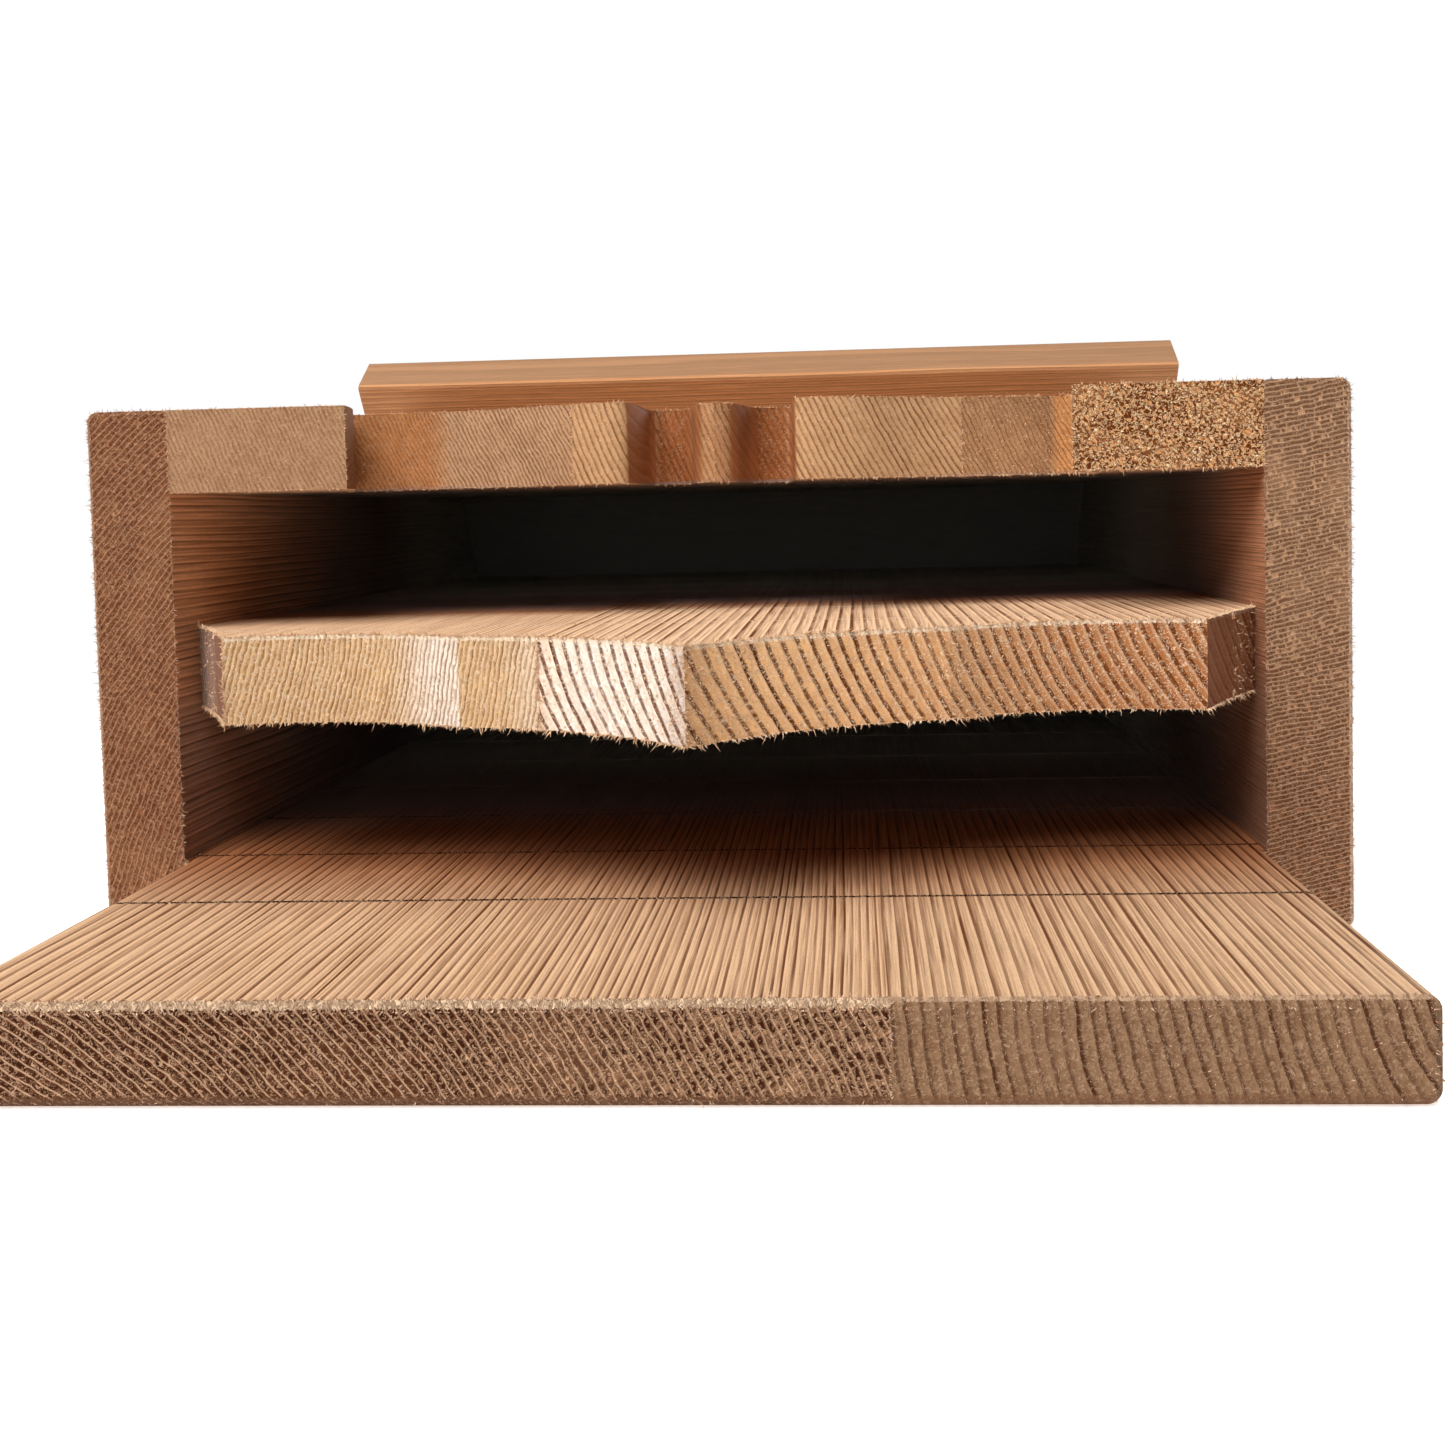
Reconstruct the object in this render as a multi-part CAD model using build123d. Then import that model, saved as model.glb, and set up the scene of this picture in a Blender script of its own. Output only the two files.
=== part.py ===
from build123d import *
import math
import os

# A two-chamber bat house that hangs on a wall. The origin is on the wall face, on the centre line,
# level with the lower ends of the side boards. +Z is up, the wall is towards +Y and the front
# towards -Y. All lengths are millimetres and all angles are degrees.

# Driving dimensions
OUTER_WIDTH = 292.0
BOARD = 19.4  # thickness of the side, front, partition and roof boards
BACK_BOARD = 18.0  # thickness of the back board
REAR_CHAMBER = 35.5  # clear depth between the back board and the partition
FRONT_CHAMBER = 32.5  # clear depth between the partition and the front board
LANDING = 102.0  # how far the back board runs on below the sides
ROOF_SLOPE = 35.0
ROOF_FRONT_HEIGHT = 230.3  # lower front arris of the roof
ROOF_FRONT_OVERHANG = 24.7  # in front of the front board
ROOF_SIDE_OVERHANG = 12.0
PARTITION_TOP_GAP = 24.0  # way over the partition, under the roof
PARTITION_CUT_OFFSET = 1.3  # how far right of the centre line its lower end was cut
STOCK_LENGTH = 400.0  # a board before its upper end is cut to the roof

# Seams between the edge-glued staves, as places across the width
BACK_SEAM = 38.0
FRONT_SEAMS = (-34.0, 61.0)
PARTITION_SEAM = -32.3

# Saw kerfs that give the bats a foothold
KERF_WIDTH = 1.3
KERF_DEPTH = 1.6
KERF_PITCH = 43.0
LOWEST_KERF = -37.4
PARTITION_LOWEST_KERF = -3.5
KERF_MARGIN = 20.0  # clear wood above the highest kerf

# Easing of the arrises
LONG_EASE = 2.6
SHORT_EASE = 1.6
FINE_EASE = 0.8

# Fasteners and hangers
SCREW_LENGTH = 45.0
SHANK_RADIUS = 2.0
HEAD_RADIUS = 4.0
HEAD_DEPTH = 3.2
HEAD_SINK = 0.3  # how far a head lies below the wood
DRIVE_WIDTH = 2.6
DRIVE_DEPTH = 2.2
TIP_LENGTH = 6.0
CLEARANCE = 0.2  # round a shank in the board that it clamps
HANGER_SPREAD = 130.0
HANGER_HEIGHT = 288.0
HANGER_LENGTH = 46.0
HANGER_WIDTH = 16.0
HANGER_THICKNESS = 1.5
KEYHOLE_RADIUS = 4.75
KEYHOLE_SLOT = 4.8
KEYHOLE_TRAVEL = 9.0
HANGER_SCREW_SPACING = 34.0
HANGER_SCREW_LENGTH = 13.0
HANGER_SHANK_RADIUS = 1.5
HANGER_HEAD_RADIUS = 2.7
HANGER_HEAD_DEPTH = 1.4
HANGER_DRIVE_WIDTH = 1.6
HANGER_DRIVE_DEPTH = 1.0
POCKET_DEPTH = 9.0
POCKET_MARGIN = 1.5  # round the keyhole

# Worked-out places
INNER_HALF = OUTER_WIDTH / 2 - BOARD
CAVITY = REAR_CHAMBER + BOARD + FRONT_CHAMBER
BACK_FACE = 0.0
BACK_INNER = -BACK_BOARD
PARTITION_REAR = BACK_INNER - REAR_CHAMBER
PARTITION_FRONT = PARTITION_REAR - BOARD
FRONT_INNER = BACK_INNER - CAVITY
FRONT_FACE = FRONT_INNER - BOARD
ROOF_FRONT = FRONT_FACE - ROOF_FRONT_OVERHANG
SLOPE = math.radians(ROOF_SLOPE)


def roof_underside(y):
    """Height of the roof's underside at a distance in front of the wall."""
    return ROOF_FRONT_HEIGHT + (y - ROOF_FRONT) * math.tan(SLOPE)


def save(node, solid, colour=Color(0.72, 0.5, 0.32)):
    """Writes one named piece."""
    solid.label = node
    solid.color = colour
    export_step(solid, os.path.join("parts", node + ".step"))


def slab(outline, y_front, y_rear):
    """A flat board: an outline in X and Z, from one depth to another."""
    return extrude(Plane.XZ.offset(-y_rear) * outline, y_rear - y_front)


def block(x_range, y_range, z_range):
    """A box given by its two ends along each axis."""
    low, high = zip(x_range, y_range, z_range)
    size = [b - a for a, b in zip(low, high)]
    middle = [(a + b) / 2 for a, b in zip(low, high)]
    return Pos(*middle) * Box(*size)


def above_roof_line():
    """Everything above the roof's underside, to trim the boards that carry the roof."""
    reach = 60.0
    y_low, y_high = ROOF_FRONT - reach, BACK_FACE + reach
    profile = Polyline(
        (y_low, roof_underside(y_low)),
        (y_high, roof_underside(y_high)),
        (y_high, roof_underside(y_high) + STOCK_LENGTH),
        (y_low, roof_underside(y_high) + STOCK_LENGTH),
        close=True,
    )
    return extrude(Plane.YZ * make_face(profile), OUTER_WIDTH, both=True)


def edges_along(solid, axis, **limits):
    """The straight edges parallel to an axis whose middles lie near every given place."""
    chosen = solid.edges().filter_by(axis)
    for name, place in limits.items():
        chosen = [e for e in chosen if abs(getattr(e.center(), name) - place) < 0.05]
    return chosen


# Screws


def screw_solid(length, shank, head, head_depth, grow=0.0):
    """A countersunk screw that points along -Z with its head's top at the origin."""
    profile = Polyline(
        (0, 0),
        (head, 0),
        (shank + grow, -head_depth),
        (shank + grow, -(length - TIP_LENGTH * shank / SHANK_RADIUS)),
        (0, -length),
        close=True,
    )
    return revolve(Plane.XZ * make_face(profile), Axis.Z)


def board_screw():
    """The screw that holds two boards together, with a square drive."""
    drive = Pos(0, 0, -DRIVE_DEPTH / 2) * Box(DRIVE_WIDTH, DRIVE_WIDTH, DRIVE_DEPTH)
    return screw_solid(SCREW_LENGTH, SHANK_RADIUS, HEAD_RADIUS, HEAD_DEPTH) - drive


def screw_hole():
    """What a board screw takes out of the wood, with the sunk head's way in."""
    way_in = Pos(0, 0, 1.0) * Cylinder(HEAD_RADIUS, 2.0)
    return screw_solid(SCREW_LENGTH, SHANK_RADIUS, HEAD_RADIUS, HEAD_DEPTH) + way_in


def clamped_hole():
    """The clearance hole in the outer board."""
    reach = BOARD + 2.0
    return Pos(0, 0, -reach / 2) * Cylinder(SHANK_RADIUS + CLEARANCE, reach)


def side_place(side, y, z):
    """Where a screw through a side board starts, pointing inwards."""
    x = side * (OUTER_WIDTH / 2 - HEAD_SINK)
    return Pos(x, y, z) * Rot(0, 90 * side, 0)


SIDE_SCREWS = {
    "back": (BACK_INNER / 2, (30.0, 165.0, 300.0)),
    "partition": ((PARTITION_REAR + PARTITION_FRONT) / 2, (60.0, 225.0)),
    "front": ((FRONT_INNER + FRONT_FACE) / 2, (14.0, 120.0, 220.0)),
}
ROOF_SCREW_DEPTHS = (-20.0, -66.0, -112.0)


def side_places(side, board):
    y, heights = SIDE_SCREWS[board]
    return [side_place(side, y, z) for z in heights]


def roof_places(side):
    """Where the roof's screws start, square to its top face."""
    x = side * (OUTER_WIDTH - BOARD) / 2
    rise = BOARD - HEAD_SINK
    places = []
    for y in ROOF_SCREW_DEPTHS:
        top = (y - rise * math.sin(SLOPE), roof_underside(y) + rise * math.cos(SLOPE))
        places.append(Pos(x, *top) * Rot(ROOF_SLOPE, 0, 0))
    return places


def drill(board, places, outer=False):
    """Takes the screws out of a board, and their clearance out of an outer one."""
    for place in places:
        board -= place * screw_hole()
        if outer:
            board -= place * clamped_hole()
    return board


# Boards


def side_board(side):
    """An outer board, with its upper end cut to the roof's slope."""
    x_range = sorted((side * INNER_HALF, side * OUTER_WIDTH / 2))
    board = block(x_range, (FRONT_FACE, BACK_FACE), (0, STOCK_LENGTH)) - above_roof_line()
    outer_x = side * OUTER_WIDTH / 2
    front_long = edges_along(board, Axis.Z, Y=FRONT_FACE, X=outer_x)
    board = fillet(front_long, LONG_EASE)
    rear_long = edges_along(board, Axis.Z, Y=BACK_FACE, X=outer_x)
    board = fillet(rear_long, SHORT_EASE)
    board = chamfer(edges_along(board, Axis.Z, Y=FRONT_FACE, X=side * INNER_HALF), FINE_EASE)
    board = chamfer(edges_along(board, Axis.Y, Z=0, X=outer_x), FINE_EASE)
    for piece in SIDE_SCREWS:
        board = drill(board, side_places(side, piece), outer=True)
    return drill(board, roof_places(side))


def kerfs(lowest, highest, y_face, y_inside):
    """A ladder of thin saw cuts across a board's face."""
    cuts = []
    height = lowest
    y_range = sorted((y_face, y_inside))
    while height < highest:
        z_range = (height - KERF_WIDTH / 2, height + KERF_WIDTH / 2)
        cuts.append(block((-INNER_HALF - 1, INNER_HALF + 1), y_range, z_range))
        height += KERF_PITCH
    return cuts


def back_board():
    """The back board, whose lower end is the landing."""
    board = block((-INNER_HALF, INNER_HALF), (BACK_INNER, BACK_FACE), (-LANDING, STOCK_LENGTH))
    board -= above_roof_line()
    below_sides = block(
        (-INNER_HALF - 1, INNER_HALF + 1), (BACK_INNER - 1, BACK_FACE + 1), (-LANDING - 1, 0)
    )
    landing = board & below_sides
    upper = board - below_sides
    long_edges = landing.edges().filter_by(Axis.Z)
    landing = fillet(long_edges, LONG_EASE)
    lower_end = landing.edges().group_by(Axis.Z)[0]
    landing = chamfer(lower_end, SHORT_EASE)
    board = upper + landing
    highest = roof_underside(BACK_INNER) - KERF_MARGIN
    for cut in kerfs(LOWEST_KERF, highest, BACK_INNER, BACK_INNER + KERF_DEPTH):
        board -= cut
    for side in (-1, 1):
        board = drill(board, side_places(side, "back"))
        board -= hanger_pocket(side)
        board = drill_hanger(board, side)
    return board


def bat_cutout():
    """The upper outline of a bat with spread wings, cut into the front board's lower end."""
    crown = 25.5  # the top of the head, between the ears
    ear_tip = (14.0, 49.0)
    ear_foot = (20.2, 17.0)
    shoulder = (27.0, 15.5)
    wing_top = (82.0, 34.0)
    wing_tip = (95.0, 32.0)
    wing_foot = 84.0
    right = Curve() + [
        Spline((0, crown), (6.5, 38.0), ear_tip, tangents=((1, 0.2), (1, 0.1))),
        Spline(ear_tip, (19.0, 38.0), ear_foot, tangents=((1, 0.1), (0.15, -1))),
        Spline(ear_foot, shoulder, (51.0, 26.0), wing_top, wing_tip, tangents=((0.5, -1), (1, -0.35))),
        ThreePointArc(wing_tip, (88.0, 18.0), (wing_foot, 0)),
        Line((wing_foot, 0), (wing_foot, -5)),
        Line((wing_foot, -5), (0, -5)),
        Line((0, -5), (0, crown)),
    ]
    half = make_face(right.edges())
    return half + mirror(half, about=Plane.YZ)


def front_panel():
    """The front board with the bat cut out of its lower end and its top cut to the roof."""
    outline = Pos(0, STOCK_LENGTH / 2) * Rectangle(2 * INNER_HALF, STOCK_LENGTH)
    panel = slab(outline - bat_cutout(), FRONT_FACE, FRONT_INNER)
    panel -= above_roof_line()
    for side in (-1, 1):
        panel = drill(panel, side_places(side, "front"))
    return panel


def partition_outline():
    """A bat's lower outline: a point at the middle and two scallops to each wing tip."""
    top = roof_underside(PARTITION_FRONT) - PARTITION_TOP_GAP
    body_point = (0, -63.0)
    wing_cusp = (52.0, -31.0)
    wing_tip = (106.9, -22.5)
    wall = (INNER_HALF + PARTITION_CUT_OFFSET, 13.0)
    right = Curve() + [
        ThreePointArc(body_point, (20.0, -43.8), wing_cusp),
        ThreePointArc(wing_cusp, (80.0, -20.0), wing_tip),
        ThreePointArc(wing_tip, (115.0, -7.0), wall),
        Line(wall, (wall[0], top)),
        Line((wall[0], top), (0, top)),
        Line((0, top), body_point),
    ]
    half = make_face(right.edges())
    outline = Pos(PARTITION_CUT_OFFSET, 0) * (half + mirror(half, about=Plane.YZ))
    return outline & Rectangle(2 * INNER_HALF, 2 * STOCK_LENGTH)


def partition():
    """The board between the two chambers, with saw kerfs on both faces."""
    board = slab(partition_outline(), PARTITION_FRONT, PARTITION_REAR)
    highest = roof_underside(PARTITION_FRONT) - PARTITION_TOP_GAP - KERF_MARGIN
    for y_face, inwards in ((PARTITION_FRONT, KERF_DEPTH), (PARTITION_REAR, -KERF_DEPTH)):
        for cut in kerfs(PARTITION_LOWEST_KERF, highest, y_face, y_face + inwards):
            board -= cut
    for side in (-1, 1):
        board = drill(board, side_places(side, "partition"))
    return board


def staves(board, seams):
    """Splits an edge-glued board at its seams, from left to right."""
    limits = [-INNER_HALF - 1, *seams, INNER_HALF + 1]
    depths, heights = (ROOF_FRONT, BACK_FACE + 1), (-LANDING - 1, STOCK_LENGTH + 1)
    return [board & block(width, depths, heights) for width in zip(limits, limits[1:])]


def roof_board():
    """The roof, square at its front edge and cut plumb at the wall."""
    rise = BOARD / math.cos(SLOPE)
    front_top = (ROOF_FRONT - BOARD * math.sin(SLOPE), ROOF_FRONT_HEIGHT + BOARD * math.cos(SLOPE))
    profile = Polyline(
        (ROOF_FRONT, ROOF_FRONT_HEIGHT),
        (BACK_FACE, roof_underside(BACK_FACE)),
        (BACK_FACE, roof_underside(BACK_FACE) + rise),
        front_top,
        close=True,
    )
    half_width = OUTER_WIDTH / 2 + ROOF_SIDE_OVERHANG
    board = extrude(Plane.YZ * make_face(profile), half_width, both=True)
    front_edges = [e for e in board.edges().filter_by(Axis.X) if e.center().Y < ROOF_FRONT + 1]
    board = fillet(front_edges, SHORT_EASE)
    for side in (-1, 1):
        for place in roof_places(side):
            board -= place * screw_hole()
            board -= place * clamped_hole()
    return board


# Keyhole hangers, let in flush with the wall face


def hanger_place(side):
    """The middle of a hanger's outer face, with +Z out of the wall face."""
    return Pos(side * HANGER_SPREAD / 2, BACK_FACE, HANGER_HEIGHT) * Rot(-90, 0, 0)


def hanger_outline():
    """A round-ended plate that lies along its second axis."""
    straight = HANGER_LENGTH - HANGER_WIDTH
    outline = Rectangle(HANGER_WIDTH, straight)
    for end in (-1, 1):
        outline += Pos(0, end * straight / 2) * Circle(HANGER_WIDTH / 2)
    return outline


def hanger_pocket(side):
    """The shallow seat of a hanger and the deep hollow behind its keyhole."""
    seat = Pos(0, 0, -HANGER_THICKNESS) * extrude(hanger_outline(), HANGER_THICKNESS + 1)
    hollow_width = 2 * (KEYHOLE_RADIUS + POCKET_MARGIN)
    hollow_length = hollow_width + KEYHOLE_TRAVEL
    hollow = Pos(0, 0, -POCKET_DEPTH / 2) * Box(hollow_width, hollow_length, POCKET_DEPTH)
    return hanger_place(side) * (seat + hollow)


def keyhole():
    """A round entry with a narrower slot above it, centred on the plate."""
    entry = Pos(0, KEYHOLE_TRAVEL / 2) * Circle(KEYHOLE_RADIUS)
    slot = Rectangle(KEYHOLE_SLOT, KEYHOLE_TRAVEL)
    top = Pos(0, -KEYHOLE_TRAVEL / 2) * Circle(KEYHOLE_SLOT / 2)
    return entry + slot + top


def hanger_screw_places(side):
    rise = HANGER_SCREW_SPACING / 2
    return [hanger_place(side) * Pos(0, end * rise, 0) for end in (-1, 1)]


def hanger_screw():
    """A small countersunk screw with a square drive."""
    solid = screw_solid(
        HANGER_SCREW_LENGTH, HANGER_SHANK_RADIUS, HANGER_HEAD_RADIUS, HANGER_HEAD_DEPTH
    )
    drive = Box(HANGER_DRIVE_WIDTH, HANGER_DRIVE_WIDTH, HANGER_DRIVE_DEPTH)
    return solid - Pos(0, 0, -HANGER_DRIVE_DEPTH / 2) * drive


def drill_hanger(board, side):
    for place in hanger_screw_places(side):
        solid = screw_solid(
            HANGER_SCREW_LENGTH, HANGER_SHANK_RADIUS, HANGER_HEAD_RADIUS, HANGER_HEAD_DEPTH
        )
        board -= place * solid
    return board


def hanger_plate(side):
    plate = Pos(0, 0, -HANGER_THICKNESS) * extrude(hanger_outline() - keyhole(), HANGER_THICKNESS)
    plate = hanger_place(side) * plate
    return drill_hanger(plate, side)


def group(solids):
    """Several separate solids in one node."""
    return Compound(children=list(solids))


os.makedirs("parts", exist_ok=True)
STEEL = Color(0.7, 0.7, 0.72)
SIDES = {"left": -1, "right": 1}

for word, side in SIDES.items():
    save("side_board_" + word, side_board(side))
    save("hanger_plate_" + word, hanger_plate(side), STEEL)
    hanger_screws = [place * hanger_screw() for place in hanger_screw_places(side)]
    save("hanger_screws_" + word, group(hanger_screws), STEEL)
    for piece in SIDE_SCREWS:
        screws = [place * board_screw() for place in side_places(side, piece)]
        save(piece + "_screws_" + word, group(screws), STEEL)
    roof_screws = [place * board_screw() for place in roof_places(side)]
    save("roof_screws_" + word, group(roof_screws), STEEL)

for word, stave in zip(("left", "right"), staves(back_board(), [BACK_SEAM])):
    save("back_stave_" + word, stave)
for word, stave in zip(("left", "middle", "right"), staves(front_panel(), FRONT_SEAMS)):
    save("front_stave_" + word, stave)
for word, stave in zip(("left", "right"), staves(partition(), [PARTITION_SEAM])):
    save("partition_stave_" + word, stave)
save("roof_board", roof_board())
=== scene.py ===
import math
import random

import bmesh
import bpy
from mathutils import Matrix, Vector


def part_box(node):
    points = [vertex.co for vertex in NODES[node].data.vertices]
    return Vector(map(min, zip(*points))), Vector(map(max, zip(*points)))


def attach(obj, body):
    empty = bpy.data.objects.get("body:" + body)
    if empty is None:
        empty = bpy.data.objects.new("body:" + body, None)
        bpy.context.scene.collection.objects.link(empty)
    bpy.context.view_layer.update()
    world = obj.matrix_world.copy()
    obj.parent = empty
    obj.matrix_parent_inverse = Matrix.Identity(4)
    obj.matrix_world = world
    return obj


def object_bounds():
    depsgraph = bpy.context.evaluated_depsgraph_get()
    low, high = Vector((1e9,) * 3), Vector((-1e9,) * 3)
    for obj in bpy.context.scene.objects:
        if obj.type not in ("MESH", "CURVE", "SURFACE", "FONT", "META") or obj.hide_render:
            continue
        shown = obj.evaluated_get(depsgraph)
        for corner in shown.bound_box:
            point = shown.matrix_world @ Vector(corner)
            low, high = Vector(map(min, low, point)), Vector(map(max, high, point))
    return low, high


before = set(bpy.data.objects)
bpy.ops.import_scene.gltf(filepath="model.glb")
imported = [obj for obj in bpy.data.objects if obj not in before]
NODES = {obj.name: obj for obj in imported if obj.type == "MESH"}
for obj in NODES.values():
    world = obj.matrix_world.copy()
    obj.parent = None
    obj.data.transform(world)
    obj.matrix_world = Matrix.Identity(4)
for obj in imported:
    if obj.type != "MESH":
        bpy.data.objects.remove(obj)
cad_low, cad_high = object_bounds()
LANDING_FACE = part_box("back_stave_left")[0].y
MM = 0.001

# The chambers' bounds, in millimetres, each a little past the faces that close them
CHAMBER_HALF = 127.0
CHAMBER_BACK = -17.5
CHAMBER_FRONT = -106.0
REAR_CHAMBER = (-62.0, -48.0)  # through the partition, from the front chamber to the one behind it, where painted shade tints the walls
DARKENING = 90.0  # the height over which painted shade turns a face to its depth colour, in millimetres
# Painted shade in the chambers: a brown tint where light fails, and a dull grey-brown further in
DUSK_TINT = (0.52, 0.32, 0.23)
DEEP_TONE = (0.235, 0.178, 0.158)

# The saw kerfs, the painted shade along them, and how far away from them things start, in millimetres
KERF_SPACING = 43.0
KERF_TONE = (0.05, 0.014, 0.005)
KERF_FLOOR = -3.0  # behind this place nothing belongs to a kerf
ABOVE_FOOT = 30.0  # every kerf is at least this far above its board's lower end

# The rib of the front board, and the height over which painted shadows fade in, in millimetres
RIB_HALF = (16.0, 18.5)
STAIN_HEIGHT = (3.0, 8.0)


# ---------------------------------------------------------------- camera


def add_camera():
    """Close below the open lower end, looking up into the chambers with the front board on top."""
    data = bpy.data.cameras.new("camera")
    data.sensor_width = 36.0
    data.lens = 36.87
    data.shift_x = -0.0339
    data.shift_y = -0.1000
    data.clip_start, data.clip_end = 0.01, 50.0
    camera = bpy.data.objects.new("camera", data)
    camera.location = (33.79 * MM, LANDING_FACE - 80.40 * MM, -339.99 * MM)
    camera.rotation_euler = [math.radians(a) for a in (177.239, -3.149, 1.372)]
    bpy.context.scene.collection.objects.link(camera)
    bpy.context.scene.camera = camera


# ---------------------------------------------------------------- node building


class Graph:
    """Short names for the nodes of one material."""

    def __init__(self, name):
        self.material = bpy.data.materials.new(name)
        self.material.use_nodes = True
        self.tree = self.material.node_tree
        self.tree.nodes.clear()

    def add(self, kind, inputs=None, **settings):
        node = self.tree.nodes.new(kind)
        for key, value in settings.items():
            setattr(node, key, value)
        for key, value in (inputs or {}).items():
            self.put(node.inputs[key], value)
        return node

    def put(self, socket, value):
        if isinstance(value, bpy.types.NodeSocket):
            self.tree.links.new(value, socket)
        else:
            socket.default_value = value

    def math(self, operation, *values, clamp=False):
        node = self.add("ShaderNodeMath", operation=operation, use_clamp=clamp)
        for socket, value in zip(node.inputs, values):
            self.put(socket, value)
        return node.outputs[0]

    def vector(self, operation, *values):
        node = self.add("ShaderNodeVectorMath", operation=operation)
        for socket, value in zip(node.inputs, values):
            self.put(socket, value)
        return node.outputs["Value"] if operation == "DOT_PRODUCT" else node.outputs[0]

    def scaled(self, vector, factors):
        return self.vector("MULTIPLY", vector, factors)

    def noise(self, vector, scale=1.0, detail=2.0, rough=0.5, distortion=0.0):
        node = self.add("ShaderNodeTexNoise", {"Vector": vector, "Scale": scale, "Detail": detail,
                                               "Roughness": rough, "Distortion": distortion})
        return node.outputs[0]

    def cells(self, vector, scale=1.0, randomness=1.0):
        node = self.add("ShaderNodeTexVoronoi", {"Vector": vector, "Scale": scale,
                                                 "Randomness": randomness})
        return node.outputs["Distance"]

    def step(self, value, low, high, to_low=0.0, to_high=1.0):
        node = self.add("ShaderNodeMapRange", {0: value, 1: low, 2: high, 3: to_low, 4: to_high},
                        interpolation_type="SMOOTHSTEP")
        return node.outputs[0]

    def mix(self, factor, first, second, blend="MIX"):
        node = self.add("ShaderNodeMix", data_type="RGBA", blend_type=blend)
        self.put(node.inputs[0], factor)
        self.put(node.inputs[6], first)
        self.put(node.inputs[7], second)
        return node.outputs[2]


def colour(r, g, b):
    return (r, g, b, 1.0)


# ---------------------------------------------------------------- cedar


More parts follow.
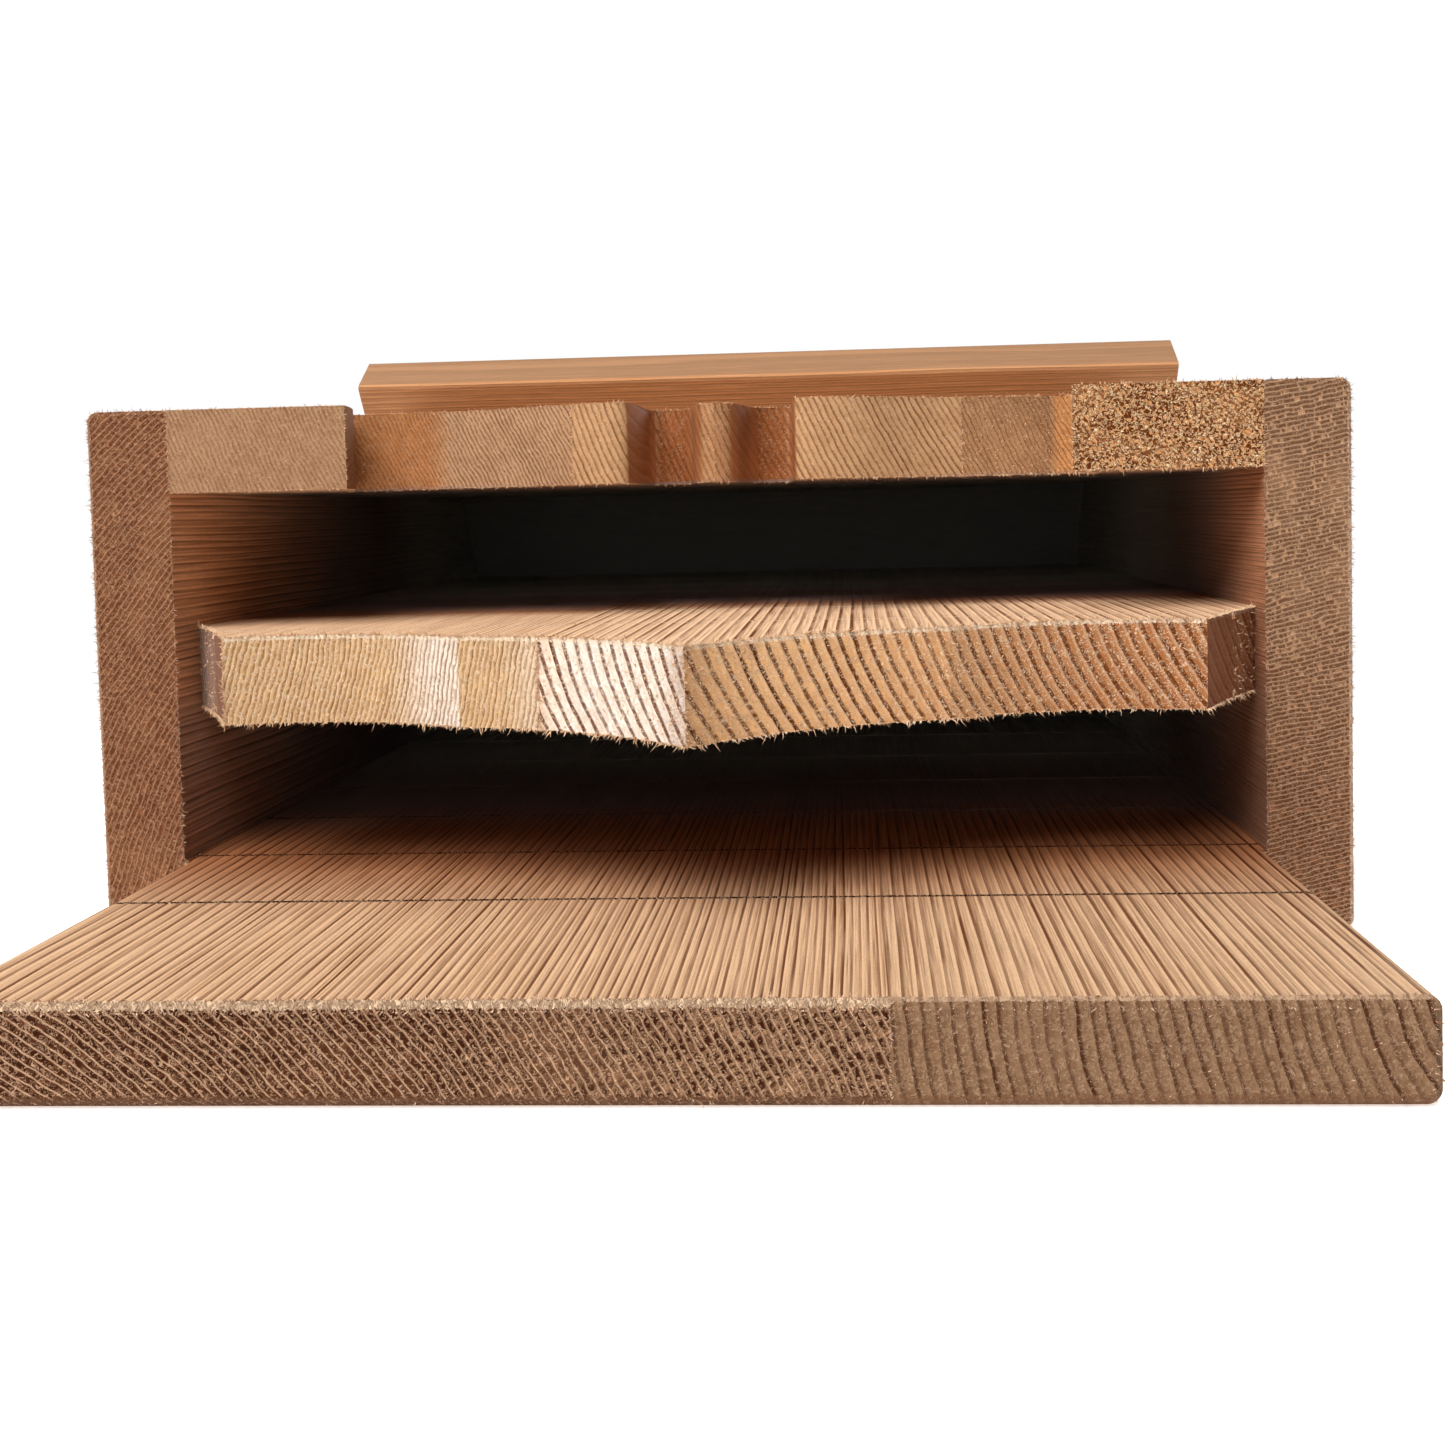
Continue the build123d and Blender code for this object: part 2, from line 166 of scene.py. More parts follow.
class Cedar:
    """How one board was cut from its tree, and how its end was sawn.

    node is its name in the frame, across and up are the axes of its cross-section, and grain is
    the axis along it. pith is the tree's centre in that section, bend curves the rings further
    away from middle, a place through the thickness, and pitch is the distance from ring to ring,
    all in millimetres. wander is how far the rings stray, and seed moves all that is random.
    face and line are the colours of the long grain; end, hollow and crest those of the end grain,
    and cut is the colour that faces turned across the board take, as strongly as burnish.
    lines, ridges, pits and curls say how strongly each of these shows on the end grain, relief
    how high they stand, and warmth how strong the brown streaks of the long grain are.
    scatter turns rows of pits into a tangle. stain is a painted shadow: (colour, from, to) along the
    radius.
    smooth_above is the height over which a torn end turns into a smooth cut, scorch the
    height over which the cut colour is painted on as shade high in the cut-out along the rib, and
    lean_pale the colour of painted light on a cut that leans to the left.
    heart is a colour that the board turns to and the places across it where that starts and ends.
    bands are strips along the arrises of the end: place through the thickness, width and colour.
    dusk is the height over which painted shade turns an inner face brown, and
    deep that over which painted shade turns it a dull grey-brown.
    row is the part of a ring that tears out, kerfs the height of the lowest saw kerf, calm
    the places across the board before and after which its lines are faint and full, fineness the
    number of curls per millimetre, dark the colour of painted shade in a chamber's depth, and
    rear a painted shade tint on what faces the chamber behind the partition.
    """

    def __init__(self, node, pith, pitch, bend=0.0, middle=0.0, grain=(0, 0, 1), across=(1, 0, 0),
                 up=(0, 1, 0), face=(0.60, 0.39, 0.24), line=(0.23, 0.105, 0.048),
                 end=(0.42, 0.26, 0.16), hollow=(0.10, 0.045, 0.02), crest=(0.60, 0.42, 0.30),
                 cut=(0.22, 0.085, 0.035), lines=0.6, ridges=0.0, pits=0.4, curls=0.4, scatter=0.0,
                 relief=0.6, warmth=0.5, wander=1.0, stain=None, scorch=None, smooth_above=None,
                 lean_pale=None, heart=None, bands=(), dusk=None, deep=(12.0, 60.0),
                 row=(0.08, 0.86), kerfs=None, burnish=0.85, calm=None,
                 fineness=1.15, dark=(0.62, 0.59, 0.53), rear=None, seed=0.0):
        self.node, self.pith, self.pitch, self.bend, self.middle = node, pith, pitch, bend, middle
        self.grain, self.across, self.up = Vector(grain), Vector(across), Vector(up)
        self.face, self.line, self.end, self.hollow, self.crest = face, line, end, hollow, crest
        self.cut, self.lines, self.ridges, self.pits, self.curls = cut, lines, ridges, pits, curls
        self.scatter, self.relief, self.warmth, self.seed = scatter, relief, warmth, seed
        self.stain, self.scorch, self.smooth_above = stain, scorch, smooth_above
        self.wander, self.lean_pale, self.heart, self.bands = wander, lean_pale, heart, bands
        self.dusk, self.deep, self.row, self.kerfs = dusk, deep, row, kerfs
        self.burnish, self.calm, self.fineness = burnish, calm, fineness
        self.dark, self.rear = dark, rear

    def material(self):
        g = Graph("cedar_" + self.node)
        place = g.add("ShaderNodeTexCoord").outputs["Object"]
        point = g.scaled(place, (1 / MM, 1 / MM, 1 / MM))
        x = g.vector("DOT_PRODUCT", point, self.across)
        y = g.vector("DOT_PRODUCT", point, self.up)
        z = g.vector("DOT_PRODUCT", point, self.grain)
        section = g.add("ShaderNodeCombineXYZ", {0: x, 1: y, 2: z}).outputs[0]
        shifted = g.vector("ADD", section, (17.0 * self.seed, 5.0 * self.seed, 29.0 * self.seed))

        # Distance from the pith, with the slow wander of a grown tree
        x_off = g.math("SUBTRACT", x, self.pith[0])
        y_off = g.math("SUBTRACT", y, self.pith[1])
        squares = g.math("ADD", g.math("MULTIPLY", x_off, x_off), g.math("MULTIPLY", y_off, y_off))
        radius = g.math("SQRT", squares)
        if self.bend:
            through = g.math("SUBTRACT", y, self.middle)
            bent = g.math("MULTIPLY", g.math("MULTIPLY", through, through), self.bend)
            radius = g.math("ADD", radius, bent)
        drift = g.noise(g.scaled(shifted, (0.045, 0.045, 0.006)), detail=1.0)
        jitter = g.noise(g.scaled(shifted, (0.30, 0.30, 0.012)), detail=1.0)
        radius = g.math("MULTIPLY_ADD", g.math("SUBTRACT", drift, 0.5), 2.6 * self.wander, radius)
        radius = g.math("MULTIPLY_ADD", g.math("SUBTRACT", jitter, 0.5), 0.9 * self.wander, radius)
        turns = g.math("DIVIDE", radius, self.pitch)
        phase = g.math("FRACT", turns)
        ring = g.math("FLOOR", turns)
        strength = g.add("ShaderNodeTexWhiteNoise", {"W": ring}, noise_dimensions="1D").outputs[0]

        # Latewood darkens slowly through the ring and stops sharply
        rise = g.step(phase, 0.60, 0.84)
        fall = g.step(phase, 0.95, 1.0, 1.0, 0.0)
        late = g.math("MULTIPLY", g.math("MULTIPLY", rise, fall),
                      g.math("MULTIPLY_ADD", strength, 0.55, 0.45))
        ridge = g.math("MULTIPLY", g.step(phase, 0.0, 0.06), g.step(phase, 0.14, 0.32, 1.0, 0.0))

        # End grain shows where the surface faces along the grain
        normal = g.add("ShaderNodeNewGeometry").outputs["Normal"]
        facing = g.math("ABSOLUTE", g.vector("DOT_PRODUCT", normal, self.grain))
        end = g.step(facing, 0.30, 0.62)
        sideways = g.math("ABSOLUTE", g.vector("DOT_PRODUCT", normal, self.across))
        sideways = g.step(sideways, 0.72, 0.88)

        # Long grain: fine fibres, streaks and slow changes of tone across the board
        fibre = g.noise(g.scaled(shifted, (2.6, 2.6, 0.035)), detail=2.0, rough=0.65)
        streak = g.noise(g.scaled(shifted, (0.28, 0.28, 0.003)), detail=2.0, rough=0.6)
        grit = g.noise(g.scaled(shifted, (2.6, 2.6, 0.9)), detail=2.0, rough=0.7)
        face = colour(*self.face)
        line = colour(*self.line)
        pale = colour(*[min(1.0, 1.38 * c) for c in self.face])
        warm = colour(self.face[0] * 0.74, self.face[1] * 0.62, self.face[2] * 0.52)
        long_colour = g.mix(g.step(streak, 0.42, 0.68, 0.0, self.warmth), face, warm)
        long_colour = g.mix(g.step(fibre, 0.48, 0.66, 0.0, 0.85), long_colour, pale)
        long_colour = g.mix(g.step(fibre, 0.30, 0.48, 0.45, 0.0), long_colour, line)
        dashes = g.add("ShaderNodeCombineXYZ", {0: g.math("MULTIPLY", ring, 3.17),
                                                1: g.math("MULTIPLY", z, 0.035)}).outputs[0]
        broken = g.step(g.noise(dashes, detail=1.0), 0.36, 0.54, 0.6, 1.0)
        long_colour = g.mix(g.math("MULTIPLY", late, broken), long_colour, line)
        long_colour = g.mix(g.math("MULTIPLY", ridge, 0.8), long_colour, pale)

        # End grain: torn hollows in rows between the rings, ridges along them, and loose curls
        tangent = g.vector("DOT_PRODUCT", point, self.tangent())
        rows = g.add("ShaderNodeCombineXYZ", {0: g.math("MULTIPLY", ring, 5.37),
                                              1: g.math("MULTIPLY", tangent, 0.95),
                                              2: g.math("MULTIPLY", z, 0.25)}).outputs[0]
        hollow = g.step(g.noise(rows, detail=1.5, rough=0.6), 0.40, 0.47)
        first, last = self.row
        between = g.math("MULTIPLY", g.step(phase, first, first + 0.10),
                         g.step(phase, last - 0.10, last, 1.0, 0.0))
        hollow = g.math("MULTIPLY", hollow, between)
        tangle = g.noise(g.scaled(shifted, (self.fineness, self.fineness, 0.4)), detail=1.5,
                         rough=0.55, distortion=0.9)
        hollow = g.add("ShaderNodeMix", {0: self.scatter, 2: hollow,
                                         3: g.step(tangle, 0.50, 0.58)}).outputs[0]
        patch = g.noise(g.scaled(shifted, (0.05, 0.10, 0.05)), detail=1.0)
        hollow = g.math("MULTIPLY", hollow, g.step(patch, 0.30, 0.52, 0.65, 1.0))
        curl = g.step(g.math("ABSOLUTE", g.math("SUBTRACT", tangle, 0.46)), 0.012, 0.045, 1.0, 0.0)
        if self.smooth_above:
            torn = g.step(z, *self.smooth_above, 1.0, 0.12)
            hollow = g.math("MULTIPLY", hollow, torn)
            curl = g.math("MULTIPLY", curl, torn)
        end_base = colour(*self.end)
        # Painted shadow: the left block's shadow on the cut-out, its edge following a radius
        if self.stain:
            tone, first, last = self.stain
            stained = g.math("MULTIPLY", g.step(radius, first, last), g.step(z, *STAIN_HEIGHT))
            end_base = g.mix(stained, end_base, colour(*tone))
        # Painted shade: the cut colour laid high in the cut-out along the rib, where the recess lies in
        # shade
        if self.scorch:
            rib = g.step(g.math("ABSOLUTE", x), *RIB_HALF, 1.0, 0.0)
            burnt = g.math("MULTIPLY", g.step(z, *self.scorch, 0.42, 1.0), rib)
            end_base = g.mix(burnt, end_base, colour(*self.cut))
        # Painted light: cuts that lean to the left turn paler, as if lit from the left
        if self.lean_pale:
            lean = g.add("ShaderNodeSeparateXYZ", {0: normal}).outputs["X"]
            end_base = g.mix(g.step(lean, -0.50, -0.26, 1.0, 0.0), end_base, colour(*self.lean_pale))
        if self.heart:
            tone, first, last = self.heart
            end_base = g.mix(g.step(x, first, last), end_base, colour(*tone))
        shade = g.mix(1.0, end_base, colour(0.66, 0.58, 0.52), "MULTIPLY")
        end_colour = g.mix(g.step(streak, 0.36, 0.68, 0.0, 0.4), end_base, shade)
        hollow_colour = colour(*self.hollow)
        crest = colour(*self.crest)
        shown = g.step(x, *self.calm, 0.25, 1.0) if self.calm else 1.0
        lined = g.math("MULTIPLY", g.math("MULTIPLY", late, self.lines), shown)
        end_colour = g.mix(lined, end_colour, hollow_colour)
        end_colour = g.mix(g.math("MULTIPLY", hollow, self.pits), end_colour, hollow_colour)
        end_colour = g.mix(g.math("MULTIPLY", ridge, self.ridges), end_colour, crest)
        end_colour = g.mix(g.math("MULTIPLY", curl, self.curls), end_colour, crest)
        for position, width, tone in self.bands:
            gap = g.math("ABSOLUTE", g.math("SUBTRACT", y, position))
            ragged = g.math("MULTIPLY_ADD", grit, 1.4 * width, 0.3 * width)
            strip = g.math("LESS_THAN", gap, ragged)
            teeth = g.math("MULTIPLY", strip, g.step(tangle, 0.44, 0.50, 0.35, 0.9))
            end_colour = g.mix(teeth, end_colour, colour(*tone))
        base = g.mix(end, long_colour, end_colour)
        base = g.mix(g.step(grit, 0.30, 0.72, 0.14, 0.0), base, hollow_colour)
        # Painted shade along the saw kerfs, reaching a little past their lips
        if self.kerfs:
            nearest = g.math("WRAP", g.math("SUBTRACT", z, self.kerfs), -KERF_SPACING / 2,
                             KERF_SPACING / 2)
            lip = g.math("LESS_THAN", g.math("ABSOLUTE", nearest),
                         g.math("MULTIPLY_ADD", grit, 0.8, 0.25))
            lip = g.math("MULTIPLY", lip, g.math("GREATER_THAN", z, self.kerfs - KERF_SPACING / 2))
            sunk = g.math("MULTIPLY", lip, g.math("LESS_THAN", y, KERF_FLOOR))
            sunk = g.math("MULTIPLY", sunk, g.math("SUBTRACT", 1.0, sideways))
            base = g.mix(sunk, base, colour(*KERF_TONE))
        # Faces turned across the board take the cut colour
        base = g.mix(g.math("MULTIPLY", sideways, self.burnish), base, colour(*self.cut))
        base = self.darkened(g, place, normal, base)

        # Relief
        long_height = g.math("MULTIPLY_ADD", late, -0.22, g.math("MULTIPLY", fibre, 0.22))
        end_height = g.math("MULTIPLY_ADD", hollow, -0.8 * self.pits, g.math("MULTIPLY", grit, 0.30))
        end_height = g.math("MULTIPLY_ADD", late, -0.35 * self.lines, end_height)
        end_height = g.math("MULTIPLY_ADD", ridge, 0.5 * self.ridges, end_height)
        end_height = g.math("MULTIPLY_ADD", curl, 0.45 * self.curls, end_height)
        end_height = g.math("MULTIPLY", end_height, self.relief)
        height = g.add("ShaderNodeMix", {0: end, 2: long_height, 3: end_height}).outputs[0]
        bump = g.add("ShaderNodeBump", {"Height": height, "Strength": 1.0, "Distance": 0.8 * MM})
        roughness = g.math("MULTIPLY_ADD", late, -0.10, g.math("MULTIPLY_ADD", end, 0.16, 0.68))
        shader = g.add("ShaderNodeBsdfPrincipled", {"Base Color": base, "Roughness": roughness,
                                                    "Specular IOR Level": 0.06,
                                                    "Normal": bump.outputs[0]})
        output = g.add("ShaderNodeOutputMaterial")
        g.put(output.inputs["Surface"], shader.outputs[0])
        return g.material

    def darkened(self, g, place, normal, base):
        """Painted shade on the chambers' inner faces: a tint behind the partition, brown where light
        fails, then dull grey-brown and grey further in.
        """
        parts = g.add("ShaderNodeSeparateXYZ", {0: g.scaled(place, (1 / MM, 1 / MM, 1 / MM))})
        x, y, z = parts.outputs[:3]
        within = g.math("LESS_THAN", g.math("ABSOLUTE", x), CHAMBER_HALF)
        within = g.math("MULTIPLY", within, g.math("LESS_THAN", y, CHAMBER_BACK))
        within = g.math("MULTIPLY", within, g.math("GREATER_THAN", y, CHAMBER_FRONT))
        upward = g.add("ShaderNodeSeparateXYZ", {0: normal}).outputs["Z"]
        within = g.math("MULTIPLY", within, g.math("LESS_THAN", upward, 0.3))
        # Painted shade: faces in the chamber behind the partition take a darker, redder tint
        if self.rear:
            behind = g.math("MULTIPLY", within, g.step(y, *REAR_CHAMBER))
            base = g.mix(behind, base, g.mix(1.0, base, colour(*self.rear), "MULTIPLY"))
        # Painted shade: inner faces turn brown higher up, where light fails
        if self.dusk:
            brown = g.mix(1.0, base, colour(*DUSK_TINT), "MULTIPLY")
            base = g.mix(g.math("MULTIPLY", within, g.step(z, *self.dusk)), base, brown)
        # Painted shade: higher still, inner faces turn a dull grey-brown and then the dark colour
        first, last = self.deep
        base = g.mix(g.math("MULTIPLY", within, g.step(z, first, last, 0.0, 0.9)),
                     base, colour(*DEEP_TONE))
        return g.mix(g.math("MULTIPLY", within, g.step(z, last, last + DARKENING, 0.0, 0.9)),
                     base, colour(*self.dark))

    def tangent(self):
        """The direction along the rings at the middle of the board's section."""
        low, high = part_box(self.node)
        centre = (low + high) / 2 / MM
        out = Vector((centre.dot(self.across) - self.pith[0], centre.dot(self.up) - self.pith[1]))
        out.normalize()
        return self.across * -out.y + self.up * out.x


BOARDS = [
    Cedar("back_stave_left", pith=(-173, 91), pitch=1.45, seed=0.3, face=(0.50, 0.312, 0.183),
          line=(0.10, 0.026, 0.006), end=(0.125, 0.044, 0.017), hollow=(0.035, 0.007, 0.001),
          crest=(0.68, 0.41, 0.245), cut=(0.5, 0.3, 0.18), burnish=0.3, lines=0.1, ridges=0.9,
          pits=1.0, curls=0.6, scatter=0.4, row=(0.04, 0.90), relief=1.0,
          heart=((0.32, 0.165, 0.086), -50.0, 25.0),
          bands=((-18.0, 1.2, (0.70, 0.48, 0.31)), (0.0, 2.2, (0.13, 0.055, 0.026))), kerfs=-37.4,
          dusk=(-62.0, 6.0), deep=(24.0, 78.0)),
    Cedar("back_stave_right", pith=(162, -28), pitch=2.5, wander=0.8, seed=1.7,
          face=(0.475, 0.30, 0.177), line=(0.10, 0.026, 0.006), end=(0.235, 0.132, 0.071),
          hollow=(0.045, 0.010, 0.002), crest=(0.46, 0.31, 0.20), cut=(0.5, 0.3, 0.18), burnish=0.3,
          lines=1.0, pits=0.4, curls=0.35, scatter=0.5, row=(0.3, 0.9),
          bands=((-18.0, 0.6, (0.42, 0.27, 0.17)), (0.0, 2.2, (0.15, 0.07, 0.035))), kerfs=-37.4,
          dusk=(-62.0, 6.0), deep=(24.0, 78.0)),
    Cedar("side_board_left", pith=(36, 5), pitch=1.3, seed=2.9, across=(0, 1, 0), up=(1, 0, 0),
          face=(0.58, 0.30, 0.165), end=(0.26, 0.106, 0.047), hollow=(0.075, 0.016, 0.005),
          crest=(0.50, 0.28, 0.16), cut=(0.4, 0.2, 0.1), burnish=0.25, lines=0.3, ridges=0.5,
          pits=0.75, curls=0.5, scatter=0.3, bands=((-146.0, 1.0, (0.42, 0.25, 0.155)),),
          deep=(35.0, 145.0), rear=(0.70, 0.80, 1.0)),
    Cedar("side_board_right", pith=(320, 216), pitch=1.05, seed=4.1, across=(0, 1, 0), up=(1, 0, 0),
          face=(0.385, 0.178, 0.097), end=(0.42, 0.23, 0.12), hollow=(0.07, 0.021, 0.007),
          crest=(0.60, 0.40, 0.26), cut=(0.4, 0.2, 0.1), burnish=0.25, lines=0.3, ridges=0.45,
          pits=0.8, curls=0.35, heart=((0.22, 0.090, 0.040), -85.0, -10.0),
          bands=((146.0, 1.0, (0.58, 0.42, 0.30)),), deep=(5.0, 75.0), rear=(0.80, 0.88, 1.0)),
    Cedar("front_stave_left", pith=(240, -270), pitch=1.05, seed=5.2, warmth=0.8,
          end=(0.35, 0.195, 0.103), hollow=(0.15, 0.05, 0.016), crest=(0.66, 0.45, 0.30),
          lines=0.85, pits=0.4, curls=0.3, row=(0.5, 0.9), relief=0.45, calm=(-75.0, -62.0),
          stain=((0.42, 0.172, 0.062), 334.0, 341.0), heart=((0.45, 0.255, 0.137), -74.0, -66.0)),
    Cedar("front_stave_middle", pith=(250, -230), pitch=1.5, wander=0.7, seed=6.4, warmth=0.8,
          end=(0.55, 0.315, 0.157), hollow=(0.17, 0.06, 0.02), crest=(0.70, 0.48, 0.31),
          cut=(0.32, 0.103, 0.031), lines=0.9, pits=0.35, curls=0.3, row=(0.5, 0.9), relief=0.45,
          scorch=(31.0, 43.0)),
    Cedar("front_stave_right", pith=(300, -240), pitch=1.1, seed=7.7, end=(0.46, 0.245, 0.118),
          hollow=(0.12, 0.028, 0.004), crest=(1.0, 0.76, 0.47), lines=0.65, pits=1.0, curls=1.0,
          scatter=1.0, fineness=1.4, relief=1.0, heart=((0.68, 0.31, 0.115), 83.0, 86.0),
          smooth_above=(3.0, 8.0)),
    Cedar("partition_stave_left", pith=(-360, -140), pitch=1.15, seed=8.3, end=(0.69, 0.44, 0.215),
          hollow=(0.26, 0.115, 0.04), crest=(0.92, 0.74, 0.55), cut=(0.13, 0.030, 0.009),
          lines=0.95, ridges=0.35, pits=0.45, curls=0.6, row=(0.45, 0.9), relief=0.55,
          lean_pale=(0.90, 0.79, 0.69), bands=((-72.9, 0.9, (0.90, 0.74, 0.56)),),
          dusk=(24.0, 46.0), deep=(34.0, 78.0)),
    Cedar("partition_stave_right", pith=(400, -230), pitch=2.65, bend=0.006, middle=-63.2,
          wander=0.5, seed=9.6, line=(0.12, 0.034, 0.009), end=(0.92, 0.53, 0.245),
          hollow=(0.13, 0.034, 0.008), crest=(0.90, 0.67, 0.46), cut=(0.13, 0.030, 0.009),
          lines=1.0, ridges=0.25, pits=0.8, curls=0.7, row=(0.62, 0.96), relief=0.55,
          heart=((0.38, 0.143, 0.047), -10.0, 104.0), lean_pale=(0.90, 0.80, 0.71),
          bands=((-72.9, 0.9, (0.86, 0.67, 0.48)),), dusk=(32.0, 60.0), deep=(44.0, 88.0)),
    Cedar("roof_board", pith=(40, 330), pitch=2.4, seed=11.0, grain=(1, 0, 0), across=(0, 1, 0),
          up=(0, 0, 1), face=(0.42, 0.205, 0.094), line=(0.34, 0.16, 0.067),
          end=(0.33, 0.17, 0.085), hollow=(0.13, 0.05, 0.02), cut=(0.25, 0.155, 0.094), burnish=0.8,
          pits=0.35, curls=0.15, deep=(60.0, 150.0), dark=(0.27, 0.265, 0.24)),
]


# ---------------------------------------------------------------- loose fibres


FIBRE_PROUD = 0.9 * MM  # how far fibres may stand below the landing's end


class Fuzz:
    """Many small torn fibres gathered into one mesh, each a bent, tapering three-sided sliver."""

    def __init__(self, name, seed):
        self.name, self.vertices, self.faces, self.rng = name, [], [], random.Random(seed)

    def jitter(self, size):
        r = self.rng
        return Vector((r.uniform(-size, size), r.uniform(-size, size), r.uniform(-size, size)))

    def sliver(self, root, direction, length, width):
        """One fibre, in millimetres, kept inside the object's box."""
        axis = direction.normalized()
        side = axis.orthogonal().normalized()
        other = axis.cross(side)
        curl = self.jitter(0.45 * length)
        first = len(self.vertices)
        for t in (0.0, 0.55):
            centre = root + axis * (length * t) + curl * (t * t)
            reach = 0.5 * width * (1 - 0.5 * t)
            for k in range(3):
                angle = 2 * math.pi * k / 3
                spot = centre + side * (reach * math.cos(angle)) + other * (reach * math.sin(angle))
                self.vertices.append(inside(spot * MM))
        self.vertices.append(inside((root + axis * length + curl) * MM))
        tip = first + 6
        for k in range(3):
            a, b = first + k, first + (k + 1) % 3
            self.faces.append((a, b, b + 3, a + 3))
            self.faces.append((a + 3, b + 3, tip))

    def along(self, start, stop, normal, per_mm, length, width, spread):
        """Fibres all along a line, standing out in the direction of normal."""
        r = self.rng
        run = stop - start
        for _ in range(int(run.length * per_mm + r.random())):
            root = start + run * r.random() - normal * 0.1 + self.jitter(0.12)
            size = length * (0.35 + 1.1 * r.random() ** 2.5)
            self.sliver(root, normal + self.jitter(spread), size, width * r.uniform(0.6, 1.3))

    def over(self, triangles, per_mm2, tufts, length, width):
        """Fibres strewn over triangles, lying nearly flat, and thicker where the wood is torn."""
        r = self.rng
        for corners, normal, area in triangles:
            for _ in range(int(area * per_mm2 * TUFT + r.random())):
                u, v = r.random(), r.random()
                if u + v > 1:
                    u, v = 1 - u, 1 - v
                root = corners[0] + (corners[1] - corners[0]) * u + (corners[2] - corners[0]) * v
                torn = any(low < root.x < high for low, high in tufts)
                if not torn and r.random() > 1 / TUFT:
                    continue
                size = length * (0.4 + 0.9 * r.random() ** 2)
                self.sliver(root, self.jitter(1.0) + normal * 0.45, size, width * r.uniform(0.6, 1.3))

    def build(self, material):
        mesh = bpy.data.meshes.new(self.name)
        mesh.from_pydata(self.vertices, [], self.faces)
        mesh.materials.append(material)
        piece = bpy.data.objects.new(self.name, mesh)
        bpy.context.scene.collection.objects.link(piece)
        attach(piece, "root")


def inside(spot):
    """The nearest place that is in the object's box, or a fibre's breadth below it."""
    low = cad_low - Vector((0, 0, FIBRE_PROUD))
    return Vector([min(max(v, lo), hi) for v, lo, hi in zip(spot, low, cad_high)])


def arrises(node, below):
    """The sharp edges of a board lower than a height, each with its two faces' mean direction."""
    shape = bmesh.new()
    shape.from_mesh(NODES[node].data)
    bmesh.ops.remove_doubles(shape, verts=shape.verts, dist=0.001 * MM)
    bmesh.ops.dissolve_limit(shape, angle_limit=math.radians(2), verts=shape.verts, edges=shape.edges)
    found = []
    for edge in shape.edges:
        a, b = [v.co / MM for v in edge.verts]
        if len(edge.link_faces) == 2 and max(a.z, b.z) < below:
            upright = abs(a.z - b.z) > 0.9 * (a - b).length
            if edge.calc_face_angle() > math.radians(28) and not upright:
                normal = (edge.link_faces[0].normal + edge.link_faces[1].normal).normalized()
                found.append((a, b, normal))
    shape.free()
    return found


def end_triangles(node, below):
    """The triangles of a board's lower end: corners, direction and area, in millimetres."""
    mesh = NODES[node].data
    mesh.calc_loop_triangles()
    found = []
    for t in mesh.loop_triangles:
        corners = [mesh.vertices[i].co / MM for i in t.vertices]
        if t.normal.z < -0.5 and max(c.z for c in corners) < below:
            found.append((corners, Vector(t.normal), t.area / MM / MM))
    return found


# node: height below which fibres stand, fibres per mm of arris, their length and width in mm,
# how many lie on each square mm of the end, and the stretches of X with five times as many
TORN_ENDS = {
    "back_stave_left": (10, 3.2, 0.9, 0.26, 0.16, ()),
    "back_stave_right": (10, 1.2, 0.7, 0.24, 0.12, ()),
    "side_board_left": (5, 3.0, 0.9, 0.20, 0.6, ()),
    "side_board_right": (5, 3.0, 0.8, 0.20, 0.6, ()),
    "front_stave_left": (60, 2.2, 0.7, 0.22, 0.05, ()),
    "front_stave_middle": (60, 2.6, 0.8, 0.22, 0.05, ()),
    "front_stave_right": (60, 2.8, 1.0, 0.26, 0.16, ((61, 127),)),
    "partition_stave_left": (22, 4.2, 1.2, 0.30, 0.3, ()),
    "partition_stave_right": (22, 3.8, 1.2, 0.30, 0.25, ((-2, 14), (52, 72))),
}
TUFT = 5.0
WALL_SIDE = -3.0  # arrises behind this place, in millimetres, have no fibres


def add_fibres():
    """One piece of loose fibres for each board whose lower end was torn by the saw."""
    tones = {
        "back": ((0.66, 0.45, 0.31), (0.24, 0.105, 0.05)),
        "side": ((0.58, 0.38, 0.25), (0.30, 0.15, 0.08)),
        "front": ((0.86, 0.59, 0.37), (0.46, 0.23, 0.11)),
        "partition": ((0.76, 0.55, 0.37), (0.50, 0.29, 0.15)),
    }
    finish = {name: fibre_material("fibre_" + name, *tone) for name, tone in tones.items()}
    for seed, (node, settings) in enumerate(TORN_ENDS.items()):
        below, per_mm, length, width, strewn, tufts = settings
        fuzz = Fuzz("fibres_" + node, seed)
        foot = min(triangle[0][0].z for triangle in end_triangles(node, below))
        for start, stop, normal in arrises(node, below):
            if min(start.y, stop.y) > WALL_SIDE:
                continue
            kerf = abs(start.z - stop.z) < 0.01 and min(start.z, stop.z) > foot + ABOVE_FOOT
            if not kerf:
                fuzz.along(start, stop, normal, per_mm, length, width, 0.75)
        fuzz.over(end_triangles(node, below), strewn, tufts, 0.8 * length, 0.8 * width)
        fuzz.build(finish[node.split("_")[0]])


